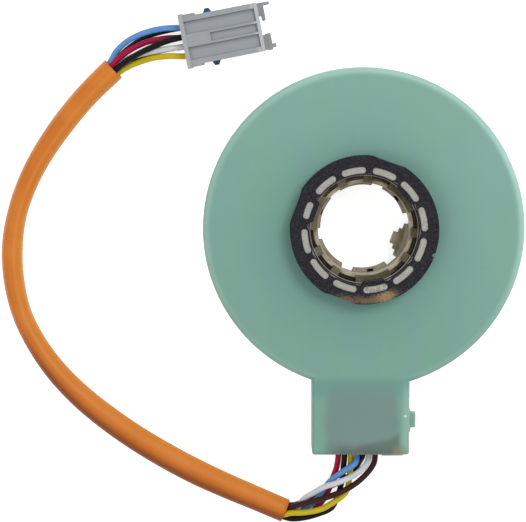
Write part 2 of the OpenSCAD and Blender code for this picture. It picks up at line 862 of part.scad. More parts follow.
module contact() {
    barrel_r = 0.75;
    neck_t = 0.5;
    neck_w = 1;
    hole_w = 0.8;
    back_wall = 1;
    translate([contact_x, 0, 0])
        rotate([0, 90, 0])
            cylinder(r = barrel_r, h = barrel_l, $fn = 24);
    box(contact_x + barrel_l - seat_gap, socket_x + seat_gap, -neck_w / 2, neck_w / 2, -neck_t / 2, neck_t / 2);
    difference() {
        box(socket_x, socket_x + socket_l, -socket_w / 2, socket_w / 2, -socket_w / 2, socket_w / 2);
        box(socket_x + back_wall, socket_x + socket_l + 1, -hole_w / 2, hole_w / 2, -hole_w / 2, hole_w / 2);
    }
}

module connector_contacts() {
    color([0.8, 0.8, 0.78])
        in_plug_place()
            for (i = [0:wires - 1])
                translate([0, column_y(plug_column[i]), row_z(plug_row[i])])
                    contact();
}

front_housing();
rear_cover();
track_board();
position_tracks();
torque_tracks();
board_pins();
thrust_washer();
front_drive_ring();
front_rotor_hub();
hub_cage();
grip_ring();
position_wipers();
rear_rotor();
torque_wipers();
wire_clamp();
potting();
wire_red();
wire_black();
wire_yellow();
wire_light_blue();
wire_dark_blue();
wire_white();
wire_brown();
cable_sleeve();
connector_housing();
contact_lock();
connector_contacts();
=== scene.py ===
# Looks of the steering angle sensor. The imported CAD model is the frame, and lengths are in metres.
import math

import bpy
import numpy as np
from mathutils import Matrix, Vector


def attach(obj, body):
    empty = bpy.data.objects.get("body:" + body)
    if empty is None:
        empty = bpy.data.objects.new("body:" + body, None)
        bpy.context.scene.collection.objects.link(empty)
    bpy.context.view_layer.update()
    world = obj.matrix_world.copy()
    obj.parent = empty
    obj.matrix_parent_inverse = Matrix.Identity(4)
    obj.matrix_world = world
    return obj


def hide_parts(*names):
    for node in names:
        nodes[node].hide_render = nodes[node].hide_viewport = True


MM = 0.001
UP = np.array((0, 0, 1.0))
WHITE = (1, 1, 1, 1)

# Camera, with its tilt in degrees
FILM_WIDTH = 36
LENS = 165.2
CAMERA_PLACE = (-0.02504, 0.04427, 0.6092)
CAMERA_TILT = -5

scene = bpy.context.scene
scene.view_settings.view_transform = "Standard"
camera_data = bpy.data.cameras.new("camera")
camera_data.sensor_width = FILM_WIDTH
camera_data.lens = LENS
camera = bpy.data.objects.new("camera", camera_data)
camera.location = CAMERA_PLACE
camera.rotation_euler = (math.radians(CAMERA_TILT), 0, 0)
scene.collection.objects.link(camera)
scene.camera = camera

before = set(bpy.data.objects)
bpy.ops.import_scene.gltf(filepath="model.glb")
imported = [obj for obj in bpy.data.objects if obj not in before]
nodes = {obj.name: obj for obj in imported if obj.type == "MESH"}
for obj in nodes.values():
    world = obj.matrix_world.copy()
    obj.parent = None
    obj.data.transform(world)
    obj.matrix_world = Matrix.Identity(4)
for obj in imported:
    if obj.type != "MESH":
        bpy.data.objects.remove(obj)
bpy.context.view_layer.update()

# The lead in millimetres and degrees, with the same points as in part.scad
WIRES = 7
WIRE_D = 1.5
WIRE_PITCH = 1.55
WIRE_X = -1.35
WIRE_Z = 6.5
WIRE_START = 48
BLOCK_END = 56.8
STRAIGHT_OUT = 0.5
LAY_R = 1.6
LAY_TWIST = 110
PLUG_AT = (-44.95, 46.2, 0)
PLUG_TURN = 11
PLUG_H = 9.4
COLUMNS = 4
COLUMN_PITCH = 2.4
ROWS = 2
ROW_PITCH = 2.6
CONTACT_X = 4
SLEEVE_ROUTE = [
    (-19.4, -72.5, 3), (-26.8, -69.3, 3), (-34.5, -66, 3), (-42.2, -62.4, 3), (-49.8, -58.3, 3),
    (-57.2, -53.8, 3), (-64.3, -48.8, 3), (-71, -43.3, 3), (-77, -37.1, 3), (-82, -30.1, 3),
    (-85.8, -22.4, 3), (-87.8, -14, 3), (-88.2, -5.3, 3), (-86.9, 3.2, 3), (-84, 11.4, 3),
    (-79.9, 19, 3), (-74.9, 26.1, 3), (-69.3, 32.8, 3), (-62.5, 39.5, 3)]
SLEEVE_WIDTHS = [6.0, 6.1, 6.3, 6.5, 6.5, 6.4, 6.3, 6.0, 5.6, 5.2, 5.0, 5.2, 5.3, 5.0, 5.2, 5.5, 5.8, 5.9,
                 6.2]
SLEEVE_HEIGHT = 5.8
SLEEVE_WALL = 0.4
SLEEVE_CLEARANCE = 0.01
WIRE_NAMES = ["red", "black", "yellow", "light_blue", "dark_blue", "white", "brown"]
LAY_ANGLE = [308, 4, 60, 252, 196, 0, 140]
LAY_RADIUS = [LAY_R, LAY_R, LAY_R, LAY_R, LAY_R, 0, LAY_R]
PLUG_COLUMN = [1, 1, 3, 0, 0, 2, 2]
PLUG_ROW = [0, 1, 1, 1, 0, 1, 0]
WIRE_LEAD = [
    [(-6.4, -60.9, 5.1), (-7.4, -64.1, 3.8), (-8.3, -66.9, 3.4), (-10, -70.2, 2.5), (-12.6, -72.9, 1.9),
     (-15.9, -74.4, 1.4)],
    [(-4.7, -61, 5.4), (-5.1, -64.9, 4.3), (-6, -68.5, 3.4), (-7.6, -71.7, 3.3), (-11.6, -73.5, 3.3),
     (-15.4, -74.4, 3.3), (-18.2, -74.5, 3.2)],
    [(-2.9, -60.5, 5.2), (-3.2, -64.1, 5), (-4.1, -67.6, 4.9), (-7.1, -69.9, 5.1), (-10.2, -71.7, 4.9),
     (-14.4, -72.6, 4.9), (-18.4, -72.8, 4.9)],
    [(-1.8, -59.5, 7.7), (-4, -61.1, 7.3), (-6.3, -62.9, 6.2), (-8.3, -64.8, 5.2), (-10, -67.2, 4.3),
     (-12.2, -70.4, 3), (-15.3, -72.5, 0.8)],
    [(-0.7, -59.8, 4.6), (-2.2, -62.3, 3.6), (-4.5, -64.7, 2.7), (-8.3, -66.6, 1.7), (-12.1, -68.6, 1.7),
     (-15.9, -70.9, 2)],
    [(1, -59.8, 7.3), (-1.7, -62.4, 7.3), (-5.8, -64.4, 7.2), (-9.6, -65.8, 6.5), (-12.5, -67.7, 5.2),
     (-14.7, -69.3, 4.2), (-17.2, -72.8, 3.2)],
    [(2.9, -59.8, 6.5), (1.2, -62.3, 6.5), (-1.9, -65.1, 6.6), (-6.1, -67.4, 6.5), (-11.1, -69.2, 6),
     (-15.4, -70.3, 5.7)]]
WIRE_TAIL = [
    [(-61, 42.2, 4.7), (-57.9, 44.4, 4.7), (-54, 46.2, 4.2), (-49.5, 47.1, 3.6)],
    [(-59.7, 41, 5), (-56.6, 43, 5.7), (-52.5, 45, 6.2), (-49, 46.4, 6.1)],
    [(-59.1, 39.9, 2.9), (-56.3, 41.1, 3.2), (-52.7, 42.2, 4.3), (-48.5, 42.7, 5.4)],
    [(-61.6, 44, 3.3), (-58.3, 46.8, 4.2), (-53.6, 48.8, 5.4), (-49.4, 49.6, 5.9)],
    [(-60.8, 42.8, 1.6), (-57.7, 45.4, 1.9), (-53.3, 47.9, 2.5), (-49, 49.1, 3.1)],
    [(-60, 41.3, 3.3), (-57, 42.8, 3.9), (-53.8, 43.6, 4.5), (-49.4, 44.4, 5.6)],
    [(-59.5, 40.6, 1.5), (-56.5, 42.1, 1.7), (-52.5, 43.6, 2.3), (-48.5, 44.5, 3)]]

# How finely the tubes are cut, with the paces along them in millimetres
WIRE_PACE = 0.8
WIRE_SIDES = 20
SLEEVE_PACE = 1.2
SLEEVE_SIDES = 40


def unit(vector):
    return vector / np.linalg.norm(vector)


def along(points, i):
    """The direction of a line of points at one of them."""
    if i == 0:
        return unit(points[1] - points[0])
    if i == len(points) - 1:
        return unit(points[-1] - points[-2])
    return unit(unit(points[i] - points[i - 1]) + unit(points[i + 1] - points[i]))


def level_left(direction):
    return unit(np.cross(UP, direction))


def in_plug(x, y, z):
    """A place in the plug's own axes, brought into the frame."""
    turn = math.radians(PLUG_TURN)
    return (PLUG_AT[0] + x * math.cos(turn) - y * math.sin(turn),
            PLUG_AT[1] + x * math.sin(turn) + y * math.cos(turn),
            PLUG_AT[2] + z)


def lay_point(wire, stop):
    """Where a wire lies in the sleeve, at one of the points of the sleeve's route."""
    points = np.array(SLEEVE_ROUTE, float)
    angle = math.radians(LAY_ANGLE[wire] + LAY_TWIST * stop / (len(points) - 1))
    side = level_left(along(points, stop))
    return points[stop] + LAY_RADIUS[wire] * (math.cos(angle) * side + math.sin(angle) * UP)


def wire_route(wire):
    """The points of a wire, from inside the block through the sleeve into the plug."""
    row_x = WIRE_X + (wire - (WIRES - 1) / 2) * WIRE_PITCH
    y = ((COLUMNS - 1) / 2 - PLUG_COLUMN[wire]) * COLUMN_PITCH
    z = PLUG_H / 2 + (PLUG_ROW[wire] - (ROWS - 1) / 2) * ROW_PITCH
    route = [(row_x, -WIRE_START, WIRE_Z), (row_x, -BLOCK_END - STRAIGHT_OUT, WIRE_Z)]
    route += WIRE_LEAD[wire]
    route += [tuple(lay_point(wire, stop)) for stop in range(len(SLEEVE_ROUTE))]
    route += WIRE_TAIL[wire]
    route += [in_plug(0, y, z), in_plug(CONTACT_X, y, z)]
    return np.array(route, float)


def smooth_route(points, pace):
    """A smooth curve through the points, with a point about every pace, and where each is in the list."""
    points = np.array(points, float)
    knots = np.concatenate([[0], np.cumsum(np.linalg.norm(np.diff(points, axis=0), axis=1) ** 0.5)])
    slopes = np.zeros_like(points)
    for i in range(1, len(points) - 1):
        before = knots[i] - knots[i - 1]
        after = knots[i + 1] - knots[i]
        slopes[i] = ((points[i] - points[i - 1]) / before * after
                     + (points[i + 1] - points[i]) / after * before) / (before + after)
    slopes[0] = (points[1] - points[0]) / (knots[1] - knots[0])
    slopes[-1] = (points[-1] - points[-2]) / (knots[-1] - knots[-2])
    curve = []
    places = []
    for i in range(len(points) - 1):
        span = knots[i + 1] - knots[i]
        steps = max(2, int(round(np.linalg.norm(points[i + 1] - points[i]) / pace)))
        for step in range(steps):
            t = step / steps
            start = 2 * t ** 3 - 3 * t ** 2 + 1
            start_slope = t ** 3 - 2 * t ** 2 + t
            end = 3 * t ** 2 - 2 * t ** 3
            end_slope = t ** 3 - t ** 2
            curve.append(start * points[i] + start_slope * span * slopes[i]
                         + end * points[i + 1] + end_slope * span * slopes[i + 1])
            places.append(i + t)
    curve.append(points[-1])
    places.append(len(points) - 1)
    return np.array(curve), np.array(places)


def link(obj):
    scene.collection.objects.link(obj)
    return obj


def make_mesh(name, vertices, faces, smooth=True):
    mesh = bpy.data.meshes.new(name)
    mesh.from_pydata([tuple(vertex) for vertex in vertices], [], faces)
    mesh.validate()
    for polygon in mesh.polygons:
        polygon.use_smooth = smooth
    return link(bpy.data.objects.new(name, mesh))


def swept_tube(name, line, radius):
    """A closed round tube along a line, with its rings turned as little as possible from one to the next."""
    side = level_left(along(line, 0))
    vertices = []
    for i, place in enumerate(line):
        direction = along(line, i)
        side = unit(side - np.dot(side, direction) * direction)
        other = np.cross(direction, side)
        for step in range(WIRE_SIDES):
            angle = 2 * math.pi * step / WIRE_SIDES
            vertices.append(place + radius * (math.cos(angle) * side + math.sin(angle) * other))
    faces = []
    for i in range(len(line) - 1):
        near = i * WIRE_SIDES
        far = near + WIRE_SIDES
        for step in range(WIRE_SIDES):
            after = (step + 1) % WIRE_SIDES
            faces.append((near + step, near + after, far + after, far + step))
    last = (len(line) - 1) * WIRE_SIDES
    faces.append(tuple(range(WIRE_SIDES - 1, -1, -1)))
    faces.append(tuple(last + step for step in range(WIRE_SIDES)))
    return make_mesh(name, vertices, faces)


def sleeve_mesh():
    """The sleeve as an open oval tube with a wall, and its middle line in metres."""
    line, places = smooth_route(SLEEVE_ROUTE, SLEEVE_PACE)
    widths = np.interp(places, range(len(SLEEVE_WIDTHS)), SLEEVE_WIDTHS)
    least_room = LAY_R + WIRE_D / 2 + SLEEVE_CLEARANCE
    vertices = []
    for outer in (True, False):
        for i, place in enumerate(line):
            side = level_left(along(line, i))
            half_w = widths[i] / 2
            half_h = SLEEVE_HEIGHT / 2
            if not outer:
                half_w = max(half_w - SLEEVE_WALL, least_room)
                half_h = max(half_h - SLEEVE_WALL, least_room)
            for step in range(SLEEVE_SIDES):
                angle = 2 * math.pi * step / SLEEVE_SIDES
                level = half_w * math.cos(angle) * side
                vertices.append((place + level + half_h * math.sin(angle) * UP) * MM)
    count = len(line)
    inner = count * SLEEVE_SIDES
    last = (count - 1) * SLEEVE_SIDES
    faces = []
    for i in range(count - 1):
        near = i * SLEEVE_SIDES
        far = near + SLEEVE_SIDES
        for step in range(SLEEVE_SIDES):
            after = (step + 1) % SLEEVE_SIDES
            faces.append((near + step, far + step, far + after, near + after))
            faces.append((inner + near + step, inner + near + after, inner + far + after, inner + far + step))
    for step in range(SLEEVE_SIDES):
        after = (step + 1) % SLEEVE_SIDES
        faces.append((step, after, inner + after, inner + step))
        faces.append((last + after, last + step, inner + last + step, inner + last + after))
    skin = make_mesh("sleeve_skin", vertices, faces)
    # The map's first number is 0 on the outer side of the lead's bend, 1 on its inner side, and rises between
    layer = skin.data.uv_layers.new(name="sleeve")
    for loop in skin.data.loops:
        ring, step = divmod(loop.vertex_index, SLEEVE_SIDES)
        from_left = 0.5 - 0.5 * math.cos(2 * math.pi * step / SLEEVE_SIDES)
        layer.data[loop.index].uv = (from_left, (ring % count) / (count - 1))
    return skin, line * MM


# Wires
for i, colour_name in enumerate(WIRE_NAMES):
    line, _ = smooth_route(wire_route(i), WIRE_PACE)
    line = line * MM
    wire = swept_tube("insulation_" + colour_name, line, WIRE_D / 2 * MM)
    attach(wire, "housing")
    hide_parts("wire_" + colour_name)

# Sleeve
sleeve, sleeve_line = sleeve_mesh()
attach(sleeve, "housing")
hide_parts("cable_sleeve")


# Materials
def rgb(red, green, blue):
    """A colour written as it shows on a screen, from 0 to 255."""
    def linear(value):
        value = value / 255
        return value / 12.92 if value <= 0.04045 else ((value + 0.055) / 1.055) ** 2.4
    return (linear(red), linear(green), linear(blue), 1)


class Look:
    """A procedural material, built node by node from the object's own coordinates."""

    # The sockets that the Mix node uses for colours
    MIX_SHARE = 0
    MIX_FIRST = 6
    MIX_SECOND = 7
    MIX_RESULT = 2

    def __init__(self, name):
        self.material = bpy.data.materials.new(name)
        self.material.use_nodes = True
        self.tree = self.material.node_tree
        self.shader = self.tree.nodes["Principled BSDF"]
        self.place = self.tree.nodes.new("ShaderNodeTexCoord").outputs["Object"]
        self.x, self.y, self.z = self.split(self.place)

    def split(self, vector):
        node = self.tree.nodes.new("ShaderNodeSeparateXYZ")
        self.tree.links.new(vector, node.inputs[0])
        return tuple(node.outputs)

    def put(self, socket, value):
        if isinstance(value, bpy.types.NodeSocket):
            self.tree.links.new(value, socket)
        else:
            socket.default_value = value

    def calc(self, operation, *values):
        node = self.tree.nodes.new("ShaderNodeMath")
        node.operation = operation
        for socket, value in zip(node.inputs, values):
            self.put(socket, value)
        return node.outputs[0]

    def add(self, first, second):
        return self.calc("ADD", first, second)

    def minus(self, first, second):
        return self.calc("SUBTRACT", first, second)

    def times(self, first, second):
        return self.calc("MULTIPLY", first, second)

    def both(self, *masks):
        """The masks multiplied with one another."""
        out = masks[0]
        for mask in masks[1:]:
            out = self.times(out, mask)
        return out

    def either(self, first, second):
        return self.calc("MAXIMUM", first, second)

    def ease(self, value, low, high):
        """0 below low, 1 above high, and smooth between them. It falls where low is the larger."""
        node = self.tree.nodes.new("ShaderNodeMapRange")
        node.interpolation_type = "SMOOTHSTEP"
        start, stop = (0.0, 1.0) if low < high else (1.0, 0.0)
        self.put(node.inputs["Value"], value)
        node.inputs["From Min"].default_value = min(low, high)
        node.inputs["From Max"].default_value = max(low, high)
        node.inputs["To Min"].default_value = start
        node.inputs["To Max"].default_value = stop
        return node.outputs["Result"]

    def between(self, value, low, high, soft):
        """1 from low to high, with both ends eased over twice the length soft."""
        return self.both(self.ease(value, low - soft, low + soft), self.ease(value, high + soft, high - soft))

    def radius(self, x0=0.0, y0=0.0):
        """The distance from a point, seen from above."""
        dx = self.minus(self.x, x0)
        dy = self.minus(self.y, y0)
        return self.calc("SQRT", self.add(self.times(dx, dx), self.times(dy, dy)))

    def turn(self):
        """The angle round the bore's axis, in degrees from 0 to 360."""
        degrees = self.calc("DEGREES", self.calc("ARCTAN2", self.y, self.x))
        return self.calc("WRAP", degrees, 360.0, 0.0)

    def noise(self, scale, detail, roughness, stretch=None):
        node = self.tree.nodes.new("ShaderNodeTexNoise")
        node.inputs["Scale"].default_value = scale
        node.inputs["Detail"].default_value = detail
        node.inputs["Roughness"].default_value = roughness
        vector = self.place
        if stretch is not None:
            mapping = self.tree.nodes.new("ShaderNodeMapping")
            self.tree.links.new(self.place, mapping.inputs["Vector"])
            mapping.inputs["Scale"].default_value = stretch
            vector = mapping.outputs[0]
        self.tree.links.new(vector, node.inputs["Vector"])
        return node.outputs["Fac"]

    def mix(self, share, first, second):
        node = self.tree.nodes.new("ShaderNodeMix")
        node.data_type = "RGBA"
        self.put(node.inputs[self.MIX_SHARE], share)
        self.put(node.inputs[self.MIX_FIRST], first)
        self.put(node.inputs[self.MIX_SECOND], second)
        return node.outputs[self.MIX_RESULT]

    def tint(self, base, mask, share, colour):
        """The base with a share of the colour laid over it where the mask is."""
        return self.mix(self.times(mask, share), base, colour)

    def bump(self, height, strength, depth):
        node = self.tree.nodes.new("ShaderNodeBump")
        node.inputs["Strength"].default_value = strength
        node.inputs["Distance"].default_value = depth
        self.tree.links.new(height, node.inputs["Height"])
        self.tree.links.new(node.outputs[0], self.shader.inputs["Normal"])

    def grainy(self, first, first_share, second, strength, depth):
        """A bump of two noises, of which the second has the rest of the share."""
        height = self.add(self.times(first, first_share), self.times(second, 1 - first_share))
        self.bump(height, strength, depth)

    def finish(self, colour, roughness, **others):
        self.put(self.shader.inputs["Base Color"], colour)
        self.put(self.shader.inputs["Roughness"], roughness)
        for name, value in others.items():
            self.put(self.shader.inputs[name.replace("_", " ")], value)
        return self.material


def assign(material, *names):
    for name in names:
        obj = nodes.get(name) or bpy.data.objects[name]
        if not obj.material_slots:
            obj.data.materials.append(material)
        for slot in obj.material_slots:
            slot.material = material


def housing_material():
    """Translucent green plastic: painted light on its upper right, a painted highlight on its rounded edge,
    painted shade round the hub, where it is also bluer, and greyer on the block.
    """
    rounded_edge = (0.0377, 0.0395)
    block_start = (-0.037, -0.0425)
    front_edge = (-0.0525, -0.0558)
    stain_at = (0.0095, -0.0566)
    glint_at = (0.0105, -0.0469)
    look = Look("housing_plastic")
    radius = look.radius()
    cloud = look.noise(45, 4, 0.55)
    fine = look.noise(900, 2, 0.6)
    # Painted light: the upper right side is lighter than the lower left, and painted shade makes the middle
    # round the hub darker and bluer than the outer disc
    slope = look.add(look.times(look.x, 0.5), look.times(look.y, 0.86))
    light = look.ease(slope, -0.036, 0.036)
    inner = look.mix(light, rgb(100, 145, 134), rgb(119, 161, 149))
    outer = look.mix(light, rgb(115, 156, 141), rgb(124, 167, 153))
    base = look.mix(look.ease(radius, 0.017, 0.037), inner, outer)
    # Greener and bluer patches on the disc, longer from top to bottom than across
    disc = look.ease(look.y, -0.040, -0.034)
    hue = look.ease(look.noise(150, 3, 0.55, (1, 0.3, 1)), 0.4, 0.6)
    base = look.tint(base, disc, 0.26, look.mix(hue, rgb(114, 166, 142), rgb(120, 158, 154)))
    # Painted highlight: the rounded edge is paler, most of all at its left and right and at the upper right
    rim = look.both(look.ease(radius, *rounded_edge), look.ease(look.y, -0.0385, -0.036))
    flank = look.ease(look.calc("ABSOLUTE", look.x), 0.031, 0.039)
    share = look.add(look.times(light, 0.34), look.times(flank, 0.3))
    rim_highlight_colour = look.mix(light, rgb(146, 182, 166), rgb(172, 208, 197))
    base = look.mix(look.times(rim, look.add(share, 0.32)), base, rim_highlight_colour)
    # The block has a darker root, a greyer middle with soft sides, and a pale strip along its right side
    block = look.ease(look.y, *block_start)
    wobble = look.times(look.minus(cloud, 0.5), 0.006)
    across = look.add(look.x, wobble)
    root = look.both(look.ease(look.y, -0.0365, -0.039), look.ease(look.y, -0.0435, -0.0405))
    base = look.mix(root, base, rgb(101, 149, 138))
    middle = look.both(look.ease(across, -0.0112, -0.0082), look.ease(across, 0.0100, 0.0078))
    base = look.mix(look.both(block, middle), base, rgb(111, 137, 130))
    strip = look.both(block, look.ease(look.x, 0.0092, 0.0106))
    base = look.tint(base, strip, 0.8, rgb(143, 178, 165))
    # It is darker along its front edge
    front = look.both(look.ease(look.add(look.y, wobble), *front_edge),
                      look.ease(look.x, -0.0105, -0.0045), look.ease(look.x, 0.0108, 0.0086))
    base = look.tint(base, front, 0.85, rgb(84, 95, 90))
    # The smudge lies below a slanting line from the right side down to the front edge
    slant = look.add(look.y, look.times(look.minus(0.0088, look.x), 0.27))
    slant = look.add(slant, look.times(wobble, 0.8))
    smudge = look.both(look.ease(slant, -0.0505, -0.0525), look.ease(look.x, -0.0045, 0.0005),
                       look.ease(look.x, 0.0096, 0.0084))
    base = look.tint(base, smudge, 0.72, rgb(84, 94, 88))
    # A yellowish stain at the front right corner, and a small painted highlight, a glint, above it
    stain = look.both(look.ease(look.radius(*stain_at), 0.0032, 0.0008), block)
    base = look.tint(base, stain, 0.7, rgb(140, 140, 104))
    glint = look.ease(look.radius(*glint_at), 0.0004, 0.0002)
    base = look.mix(glint, base, rgb(214, 234, 226))
    # Faint clouds over the whole
    base = look.tint(base, look.ease(cloud, 0.42, 0.62), 0.14, rgb(112, 150, 136))
    look.grainy(cloud, 0.6, fine, 0.12, 0.0004)
    rough = look.add(0.36, look.times(fine, 0.12))
    return look.finish(base, rough, Specular_IOR_Level=0.4, Subsurface_Weight=0.12, Subsurface_Scale=0.003,
                       Subsurface_Radius=(0.6, 1.0, 0.8))


def ring_material():
    """Black moulded ring with a fine grain and a worn tan patch on its outer band."""
    band_inner = (0.0150, 0.0176)
    band_outer = (0.0186, 0.0179)
    worn_from, worn_to, worn_soft = 245, 301, 14
    bright_at = (0.0052, -0.0165)
    bright_inner = (0.0152, 0.0164)
    look = Look("ring_plastic")
    radius = look.radius()
    grain = look.noise(2600, 3, 0.7)
    cloud = look.noise(260, 4, 0.6)
    fine = look.noise(1300, 4, 0.7)
    specks = look.ease(look.noise(5200, 2, 0.6), 0.56, 0.68)
    base = look.mix(look.ease(cloud, 0.35, 0.7), rgb(13, 12, 20), rgb(21, 19, 28))
    base = look.tint(base, look.ease(grain, 0.46, 0.68), 0.6, rgb(54, 52, 59))
    base = look.tint(base, specks, 0.5, rgb(96, 92, 96))
    # The worn patch is dull brown on the outer band and tan round one place, and noise breaks both up
    reach = look.both(look.between(look.turn(), worn_from, worn_to, worn_soft),
                      look.ease(radius, *band_inner), look.ease(radius, *band_outer))
    broken = look.ease(look.add(fine, look.times(reach, 0.4)), 0.52, 0.98)
    base = look.mix(look.both(reach, broken), base, rgb(108, 90, 70))
    bright = look.both(look.ease(look.radius(*bright_at), 0.0052, 0.0004),
                       look.ease(radius, *bright_inner))
    broken = look.ease(look.add(look.noise(2100, 3, 0.7), look.times(bright, 0.3)), 0.56, 0.86)
    base = look.mix(look.both(bright, broken), base, rgb(148, 124, 92))
    look.grainy(grain, 0.6, cloud, 0.3, 0.0002)
    return look.finish(base, look.add(0.46, look.times(grain, 0.2)), Specular_IOR_Level=0.2)


def plain_material(name, colour, other, scale, share=0.5, rough=0.5, metallic=0.0, stretch=None):
    """Two near colours mixed by a soft noise, with a fine grain in the surface."""
    look = Look(name)
    cloud = look.noise(scale, 4, 0.6, stretch)
    grain = look.noise(scale * 9, 2, 0.6, stretch)
    base = look.tint(colour, look.ease(cloud, 0.35, 0.68), share, other)
    look.grainy(grain, 0.5, cloud, 0.2, 0.0002)
    return look.finish(base, look.add(rough, look.times(grain, 0.14)), Metallic=metallic,
                       Specular_IOR_Level=0.5)


def post_material():
    """Pale grey posts with a rough face, painted shade along their edges, and browner where the ring is worn.
    """
    slot_at = 0.0148
    edge_shade = (0.00064, 0.00084)
    post_top = (0.0158, 0.0160)
    worn_from, worn_to, worn_soft = 268, 296, 5
    look = Look("post_plastic")
    cloud = look.noise(900, 4, 0.6)
    grain = look.noise(3600, 3, 0.65)
    base = look.tint(rgb(172, 171, 165), look.ease(cloud, 0.35, 0.68), 0.5, rgb(142, 141, 134))
    base = look.tint(base, look.ease(grain, 0.46, 0.64), 0.6, rgb(106, 105, 98))
    top = look.ease(look.z, *post_top)
    # Painted shade along the edges of each post, where it sits sunk in its slot
    off_line = look.calc("ABSOLUTE", look.minus(look.radius(), slot_at))
    base = look.tint(base, look.both(look.ease(off_line, *edge_shade), top), 0.75, rgb(52, 50, 50))
    worn = look.both(look.between(look.turn(), worn_from, worn_to, worn_soft), top,
                     look.ease(cloud, 0.42, 0.6))
    base = look.tint(base, worn, 0.7, rgb(118, 106, 84))
    look.grainy(grain, 0.5, cloud, 0.35, 0.0002)
    return look.finish(base, look.add(0.5, look.times(grain, 0.14)), Specular_IOR_Level=0.4)


def cage_material():
    """Olive ribs, painted paler to the left as light, with a tan floor, a dark wall and a painted highlight
    along the wall's top.
    """
    floor_top = (0.0086, 0.0082)
    floor_inner = (0.0121, 0.0123)
    wall_foot = (0.0086, 0.0092)
    wall_inner = (0.01328, 0.01332)
    wall_top = (0.0118, 0.0124)
    line_inner = (0.01328, 0.01331)
    line_outer = (0.01350, 0.01346)
    look = Look("cage_plastic")
    radius = look.radius()
    cloud = look.noise(330, 4, 0.65)
    fine = look.noise(2400, 2, 0.6)
    patches = look.ease(cloud, 0.35, 0.66)
    base = look.mix(patches, rgb(74, 67, 43), rgb(100, 92, 66))
    # Painted light: the ribs are paler towards the left
    base = look.tint(base, look.ease(look.x, 0.003, -0.009), 0.35, rgb(146, 138, 114))
    deep = look.both(look.ease(look.z, *floor_top), look.ease(radius, *floor_inner))
    base = look.mix(deep, base, look.mix(patches, rgb(150, 130, 98), rgb(186, 166, 134)))
    wall = look.both(look.ease(radius, *wall_inner), look.ease(look.z, *wall_foot))
    base = look.mix(wall, base, rgb(52, 47, 50))
    # Painted highlight along the top of the wall
    top_edge_highlight = look.both(look.ease(radius, *line_inner), look.ease(radius, *line_outer),
                          look.ease(look.z, *wall_top))
    base = look.tint(base, top_edge_highlight, 0.9, rgb(178, 166, 164))
    look.grainy(fine, 0.5, cloud, 0.25, 0.0002)
    return look.finish(base, look.add(0.45, look.times(fine, 0.2)), Specular_IOR_Level=0.35)


def rear_material():
    """Stained brown key, darker at its root, and a paler ring of lands with pockets painted dark as shade."""
    key_root = (0.0082, 0.0104)
    lands_start = (0.01045, 0.01075)
    pocket_floor = (0.0037, 0.0034)
    pocket_start = (0.01068, 0.01072)
    look = Look("rear_plastic")
    radius = look.radius()
    cloud = look.noise(330, 4, 0.65)
    fine = look.noise(2400, 2, 0.6)
    key = look.mix(look.ease(radius, *key_root), rgb(164, 150, 122), rgb(122, 110, 84))
    base = look.mix(look.ease(radius, *lands_start), key, rgb(176, 167, 144))
    base = look.tint(base, look.ease(cloud, 0.38, 0.66), 0.45, rgb(112, 98, 68))
    base = look.tint(base, look.ease(look.noise(800, 3, 0.6), 0.58, 0.7), 0.4, rgb(186, 176, 150))
    # Painted shade: the pockets are dark
    pocket_shade = look.both(look.ease(look.z, *pocket_floor), look.ease(radius, *pocket_start))
    base = look.mix(pocket_shade, base, rgb(60, 46, 26))
    look.grainy(fine, 0.5, cloud, 0.25, 0.0002)
    return look.finish(base, look.add(0.45, look.times(fine, 0.2)), Specular_IOR_Level=0.4)


def wire_material(name, colour, dark):
    look = Look(name)
    cloud = look.noise(420, 3, 0.5)
    fine = look.noise(3000, 2, 0.5)
    base = look.tint(colour, look.ease(cloud, 0.4, 0.7), 0.35, dark)
    look.grainy(fine, 0.3, cloud, 0.15, 0.0002)
    return look.finish(base, look.add(0.42, look.times(fine, 0.12)), Specular_IOR_Level=0.2)


def sleeve_material():
    """Orange plastic, with painted light along its inner side, a painted highlight along a fold, a painted
    sheen on its edges above, and painted shade on its outer side below.
    """
    look = Look("sleeve_plastic")
    sleeve_map = look.tree.nodes.new("ShaderNodeUVMap")
    sleeve_map.uv_map = "sleeve"
    side = look.split(sleeve_map.outputs[0])[0]
    cloud = look.noise(120, 4, 0.55)
    fine = look.noise(1600, 2, 0.6)
    # The place across the tube wanders a little, so that the streaks along it aren't straight
    drift = look.add(side, look.times(look.minus(look.noise(40, 2, 0.5), 0.5), 0.12))
    base = look.mix(look.ease(cloud, 0.35, 0.68), rgb(197, 110, 30), rgb(206, 120, 40))
    # Painted highlight along a fold across the middle of the tube
    fold_highlight = look.both(look.ease(drift, 0.50, 0.62), look.ease(drift, 0.76, 0.66))
    base = look.tint(base, fold_highlight, 0.4, rgb(214, 138, 68))
    lower = look.ease(look.y, -0.018, -0.040)
    # Painted sheen: pale edges on the upper part of the tube
    edge_sheen = look.either(look.ease(side, 0.20, 0.02), look.ease(side, 0.86, 0.99))
    base = look.tint(base, look.both(edge_sheen, look.minus(1.0, lower)), 0.5, rgb(226, 160, 108))
    deeper = look.ease(look.y, -0.026, -0.052)
    base = look.tint(base, deeper, 0.35, rgb(190, 102, 18))
    # Painted shade on the outer side of the lower part
    shaded_side = look.both(look.ease(drift, 0.56, 0.12), lower)
    base = look.tint(base, shaded_side, 0.9, rgb(126, 56, 2))
    # Painted light along the inner side
    lit_side = look.ease(drift, 0.6, 0.92)
    base = look.tint(base, lit_side, 0.4, rgb(224, 142, 50))
    look.grainy(fine, 0.3, cloud, 0.25, 0.0004)
    return look.finish(base, look.add(0.42, look.times(fine, 0.14)), Specular_IOR_Level=0.25)


